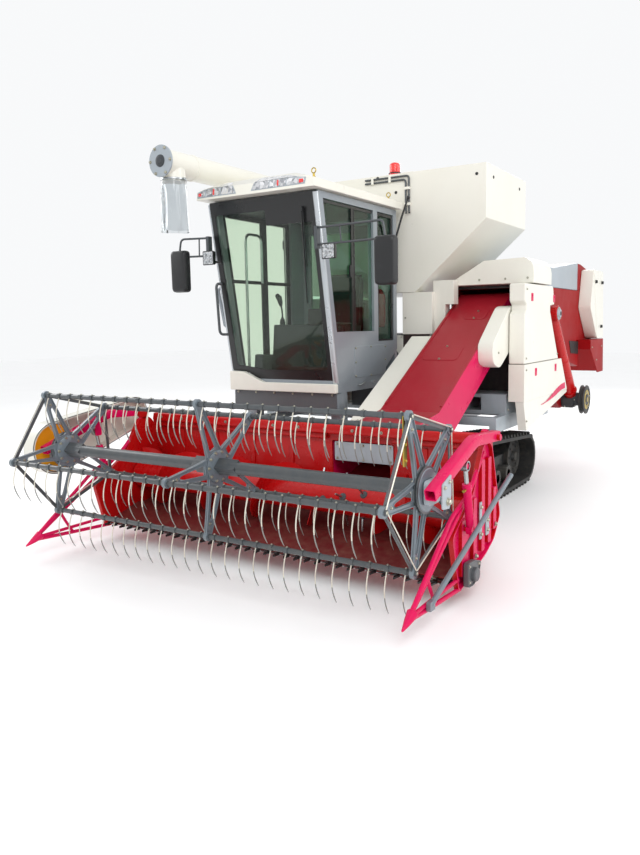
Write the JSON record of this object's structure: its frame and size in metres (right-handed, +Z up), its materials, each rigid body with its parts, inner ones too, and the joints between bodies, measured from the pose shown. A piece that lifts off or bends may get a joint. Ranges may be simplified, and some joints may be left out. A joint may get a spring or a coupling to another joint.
{
  "type": "tracked rice combine harvester",
  "caption": "Self-propelled grain harvester on rubber tracks with a tined reel header, feeder house, glazed cab, raised grain tank, side thresher and swinging unloading auger.",
  "frame": {"origin": "centre of the bounding box at ground level", "axes": "+Z up, the machine faces -Y, +X is its left side, where the thresher is"},
  "size_m": [3.1864, 6.1774, 3.018],
  "materials": {
    "cream_paint": "satin",
    "red_paint": "satin",
    "pink_paint": "satin",
    "grey_paint": "satin",
    "pale_grey_paint": "satin",
    "dark_steel": "satin",
    "bare_steel": "satin",
    "engine_iron": "matte",
    "track_rubber": "matte",
    "black_plastic": "matte",
    "seat_cover": "matte",
    "red_lens": "gloss",
    "tinted_glass": "gloss",
    "clear_film": "gloss"
  },
  "bodies": {
    "machine": {"track_left": "track_rubber", "track_right": "track_rubber", "track_frame_left": "dark_steel", "track_frame_right": "dark_steel", "drive_axle": "dark_steel", "chassis_frame": "pale_grey_paint", "engine_block": "engine_iron", "radiator_cover": "cream_paint", "fuel_tank": "black_plastic", "thresher_body": "red_paint", "thresher_hood": "cream_paint", "thresher_cover_upper": "cream_paint", "thresher_cover_lower": "cream_paint", "rear_hood": "pale_grey_paint", "straw_outlet": "red_paint", "rear_guard": "cream_paint", "tailings_tube": "red_paint", "grain_tank": "cream_paint", "elevator_casing": "cream_paint", "unloader_riser": "cream_paint", "cab_frame": "grey_paint", "cab_front_panel": "cream_paint", "cab_windscreen": "tinted_glass", "cab_side_glass": "tinted_glass", "cab_rear_glass": "tinted_glass", "cab_roof": "cream_paint", "cab_seat": "seat_cover", "cab_console": "black_plastic", "mirror_left": "black_plastic", "mirror_right": "black_plastic", "beacon": "red_lens"},
    "door": {"cab_door": "grey_paint", "cab_door_glass": "tinted_glass"},
    "hatch": {"tank_hatch": "cream_paint"},
    "unloader": {"unloader_tube": "cream_paint", "discharge_sleeve": "clear_film"},
    "header": {"feeder_house": "red_paint", "feeder_guard_left": "cream_paint", "feeder_guard_right": "cream_paint", "header_frame": "pink_paint", "cutter_bar": "dark_steel", "knife_drive_cover": "grey_paint", "crop_rod": "grey_paint"},
    "auger": {"header_auger": "red_paint"},
    "reel_frame": {"reel_arm_left": "pink_paint", "reel_arm_right": "pink_paint", "reel_drive_guard": "cream_paint"},
    "reel": {"reel_rotor": "grey_paint"},
    "tine_bar_1": {"tine_bar_1": "bare_steel"},
    "tine_bar_2": {"tine_bar_2": "bare_steel"},
    "tine_bar_3": {"tine_bar_3": "bare_steel"},
    "tine_bar_4": {"tine_bar_4": "bare_steel"},
    "tine_bar_5": {"tine_bar_5": "bare_steel"},
    "reel_barrel_left": {"reel_barrel_left": "pink_paint"},
    "reel_rod_left": {"reel_rod_left": "bare_steel"},
    "reel_barrel_right": {"reel_barrel_right": "pink_paint"},
    "reel_rod_right": {"reel_rod_right": "bare_steel"},
    "lift_barrel": {"lift_barrel": "red_paint"},
    "lift_rod": {"lift_rod": "bare_steel"}
  },
  "joints": [
    {"name": "header_lift", "type": "hinge", "parent": "machine", "child": "header", "pos_m": [0.48433, 0.44871, 1.585], "axis": [-1, 0, 0], "range_deg": [0, 14]},
    {"name": "lift_barrel_swing", "type": "hinge", "parent": "machine", "child": "lift_barrel", "pos_m": [0.24933, -0.22129, 0.47], "axis": [-1, 0, 0], "range_deg": [0, 17.36]},
    {"name": "lift_rod_slide", "type": "slide", "parent": "lift_barrel", "child": "lift_rod", "axis": [0, -0.9487, 0.3162], "range_m": [0, 0.3218]},
    {"name": "auger_spin", "type": "hinge", "parent": "header", "child": "auger", "pos_m": [0.00433, -1.96129, 0.42], "axis": [1, 0, 0], "continuous": true},
    {"name": "reel_lift", "type": "hinge", "parent": "header", "child": "reel_frame", "pos_m": [0.00433, -1.90629, 0.889], "axis": [-1, 0, 0], "range_deg": [0, 17]},
    {"name": "reel_spin", "type": "hinge", "parent": "reel_frame", "child": "reel", "pos_m": [0.00433, -2.64129, 0.718], "axis": [1, 0, 0], "continuous": true},
    {"name": "tine_bar_1_turn", "type": "hinge", "parent": "reel", "child": "tine_bar_1", "pos_m": [0.00433, -2.79108, 1.10824], "axis": [1, 0, 0], "continuous": true},
    {"name": "tine_bar_2_turn", "type": "hinge", "parent": "reel", "child": "tine_bar_2", "pos_m": [0.00433, -2.31644, 0.98106], "axis": [1, 0, 0], "continuous": true},
    {"name": "tine_bar_3_turn", "type": "hinge", "parent": "reel", "child": "tine_bar_3", "pos_m": [0.00433, -2.29072, 0.49034], "axis": [1, 0, 0], "continuous": true},
    {"name": "tine_bar_4_turn", "type": "hinge", "parent": "reel", "child": "tine_bar_4", "pos_m": [0.00433, -2.74947, 0.31424], "axis": [1, 0, 0], "continuous": true},
    {"name": "tine_bar_5_turn", "type": "hinge", "parent": "reel", "child": "tine_bar_5", "pos_m": [0.00433, -3.05871, 0.69612], "axis": [1, 0, 0], "continuous": true},
    {"name": "reel_barrel_left_swing", "type": "hinge", "parent": "header", "child": "reel_barrel_left", "pos_m": [1.46233, -2.24129, 0.42], "axis": [-1, 0, 0], "range_deg": [0, 1.4]},
    {"name": "reel_rod_left_slide", "type": "slide", "parent": "reel_barrel_left", "child": "reel_rod_left", "axis": [0, -0.2113, 0.9774], "range_m": [0, 0.1284]},
    {"name": "reel_barrel_right_swing", "type": "hinge", "parent": "header", "child": "reel_barrel_right", "pos_m": [-1.45367, -2.24129, 0.42], "axis": [-1, 0, 0], "range_deg": [0, 1.4]},
    {"name": "reel_rod_right_slide", "type": "slide", "parent": "reel_barrel_right", "child": "reel_rod_right", "axis": [0, -0.2113, 0.9774], "range_m": [0, 0.1284]},
    {"name": "door_swing", "type": "hinge", "parent": "machine", "child": "door", "pos_m": [-1.24997, -0.18129, 1.8], "axis": [0, 0, -1], "range_deg": [0, 85]},
    {"name": "hatch_swing", "type": "hinge", "parent": "machine", "child": "hatch", "pos_m": [-0.28567, 0.96271, 2.922], "axis": [-1, 0, 0], "range_deg": [0, 95]},
    {"name": "unloader_swing", "type": "hinge", "parent": "machine", "child": "unloader", "pos_m": [-1.34567, 1.41871, 2.56], "axis": [0, 0, -1], "range_deg": [0, 180]}
  ],
  "couplings": [
    {"joint": "lift_barrel_swing", "follows": "header_lift", "ratio": 1.2159},
    {"joint": "lift_rod_slide", "follows": "header_lift", "m_per_rad": 1.2911},
    {"joint": "tine_bar_1_turn", "follows": "reel_spin", "ratio": -1},
    {"joint": "tine_bar_2_turn", "follows": "reel_spin", "ratio": -1},
    {"joint": "tine_bar_3_turn", "follows": "reel_spin", "ratio": -1},
    {"joint": "tine_bar_4_turn", "follows": "reel_spin", "ratio": -1},
    {"joint": "tine_bar_5_turn", "follows": "reel_spin", "ratio": -1},
    {"joint": "reel_barrel_left_swing", "follows": "reel_lift", "ratio": 0.08073},
    {"joint": "reel_rod_left_slide", "follows": "reel_lift", "m_per_rad": 0.42416},
    {"joint": "reel_barrel_right_swing", "follows": "reel_lift", "ratio": 0.08073},
    {"joint": "reel_rod_right_slide", "follows": "reel_lift", "m_per_rad": 0.42416}
  ]
}
